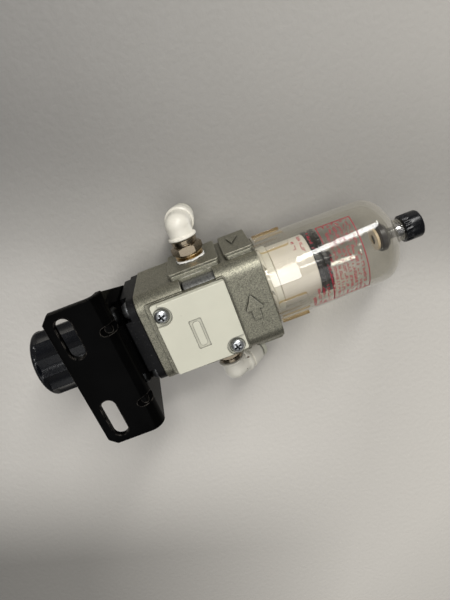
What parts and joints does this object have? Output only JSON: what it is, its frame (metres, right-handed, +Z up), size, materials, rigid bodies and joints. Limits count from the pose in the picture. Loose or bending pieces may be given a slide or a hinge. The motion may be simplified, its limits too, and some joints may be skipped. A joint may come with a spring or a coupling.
{
  "type": "filter regulator",
  "caption": "Compressed-air filter regulator on a bent wall bracket: square cast body, black adjusting knob above, clear drain bowl below, push-in elbows at both ports.",
  "frame": {"origin": "centre of the bracket's wall face, midway between its two slots", "axes": "-Y points at the wall, +Z up along the unit's axis to the knob, +X to the outlet port"},
  "size_m": [0.0774, 0.0526, 0.1594],
  "materials": {
    "cast_paint": "speckled satin grey-olive paint on a casting",
    "cream_plastic": "satin moulded",
    "zinc_steel": "bright zinc plate",
    "black_plastic": "fine moulded grain",
    "black_steel": "gloss black",
    "black_rubber": "matt",
    "clear_bowl": "clear, faintly yellow",
    "white_resin": "porous white",
    "elbow_resin": "off-white, lightly soiled",
    "nickel_brass": "dull nickel plate, worn to brass on the threads",
    "brass": "turned",
    "spring_steel": "drawn wire",
    "thread_sealant": "white tape"
  },
  "bodies": {
    "housing": {"housing": "cast_paint", "front_cover": "cream_plastic", "front_cover_seal": "black_rubber", "front_cover_screw_0": "zinc_steel", "front_cover_screw_1": "zinc_steel", "rear_cover": "cream_plastic", "rear_cover_seal": "black_rubber", "rear_cover_screw_0": "zinc_steel", "rear_cover_screw_1": "zinc_steel", "bonnet": "black_plastic", "bonnet_screw_0": "zinc_steel", "bonnet_screw_1": "zinc_steel", "bonnet_screw_2": "zinc_steel", "bonnet_screw_3": "zinc_steel", "ring_nut": "black_plastic", "bracket": "black_steel", "diaphragm": "black_rubber", "adjusting_spring": "spring_steel", "valve_guide": "white_resin", "valve_spring": "spring_steel", "louvre": "white_resin", "filter_element": "white_resin", "baffle": "black_plastic", "inlet_stud": "nickel_brass", "inlet_thread_seal": "thread_sealant", "outlet_stud": "nickel_brass", "outlet_thread_seal": "thread_sealant"},
    "adjusting_screw": {"adjusting_screw": "zinc_steel"},
    "adjusting_knob": {"adjusting_knob": "black_plastic"},
    "spring_nut": {"spring_nut": "brass"},
    "diaphragm_plate": {"diaphragm_plate": "zinc_steel"},
    "valve": {"valve": "brass"},
    "bowl_seal": {"bowl_seal": "black_rubber"},
    "bowl": {"bowl": "clear_bowl"},
    "drain_knob": {"drain_knob": "black_plastic"},
    "drain_stem": {"drain_stem": "brass", "drain_seal": "black_rubber"},
    "outlet_elbow": {"outlet_elbow": "elbow_resin", "outlet_tube_seal": "black_rubber", "outlet_collet": "zinc_steel"},
    "outlet_button": {"outlet_button": "cream_plastic"},
    "inlet_elbow": {"inlet_elbow": "elbow_resin", "inlet_tube_seal": "black_rubber", "inlet_collet": "zinc_steel"},
    "inlet_button": {"inlet_button": "cream_plastic"}
  },
  "joints": [
    {"name": "knob_turn", "type": "hinge", "parent": "housing", "child": "adjusting_screw", "pos_m": [0, 0.03, 0.015], "axis": [0, 0, 1], "range_deg": [0, 1800]},
    {"name": "knob_pull", "type": "slide", "parent": "adjusting_screw", "child": "adjusting_knob", "axis": [0, 0, 1], "range_m": [0, 0.0025]},
    {"name": "nut_travel", "type": "slide", "parent": "housing", "child": "spring_nut", "axis": [0, 0, -1], "range_m": [0, 0.0063], "deforming": ["adjusting_spring"]},
    {"name": "diaphragm_stroke", "type": "slide", "parent": "housing", "child": "diaphragm_plate", "axis": [0, 0, -1], "range_m": [0, 0.0012], "stiffness_N_per_m": 300, "springref_m": -0.002, "deforming": ["diaphragm"]},
    {"name": "valve_stroke", "type": "slide", "parent": "housing", "child": "valve", "axis": [0, 0, -1], "range_m": [0, 0.0012], "deforming": ["valve_spring"]},
    {"name": "bowl_drop", "type": "slide", "parent": "housing", "child": "bowl_seal", "axis": [0, 0, -1], "range_m": [0, 0.045]},
    {"name": "bowl_turn", "type": "hinge", "parent": "bowl_seal", "child": "bowl", "pos_m": [0, 0.03, -0.063], "axis": [0, 0, 1], "range_deg": [0, 45]},
    {"name": "drain_turn", "type": "hinge", "parent": "bowl", "child": "drain_knob", "pos_m": [0, 0.03, -0.13], "axis": [0, 0, 1], "range_deg": [0, 180]},
    {"name": "drain_lift", "type": "slide", "parent": "bowl", "child": "drain_stem", "axis": [0, 0, 1], "range_m": [0, 0.00121]},
    {"name": "outlet_swivel", "type": "hinge", "parent": "housing", "child": "outlet_elbow", "pos_m": [0.0334, 0.03, -0.045], "axis": [1, 0, 0], "continuous": true},
    {"name": "outlet_release", "type": "slide", "parent": "outlet_elbow", "child": "outlet_button", "axis": [0, -0.9903, 0.1392], "range_m": [0, 0.001], "stiffness_N_per_m": 100, "springref_m": -0.001},
    {"name": "inlet_swivel", "type": "hinge", "parent": "housing", "child": "inlet_elbow", "pos_m": [-0.0326, 0.03, -0.045], "axis": [1, 0, 0], "continuous": true},
    {"name": "inlet_release", "type": "slide", "parent": "inlet_elbow", "child": "inlet_button", "axis": [0, -0.6157, 0.788], "range_m": [0, 0.001], "stiffness_N_per_m": 100, "springref_m": -0.001}
  ],
  "couplings": [
    {"joint": "nut_travel", "follows": "knob_turn", "m_per_rad": 0.00019894},
    {"joint": "valve_stroke", "follows": "diaphragm_stroke", "ratio": 1},
    {"joint": "drain_lift", "follows": "drain_turn", "m_per_rad": 0.00038197}
  ]
}
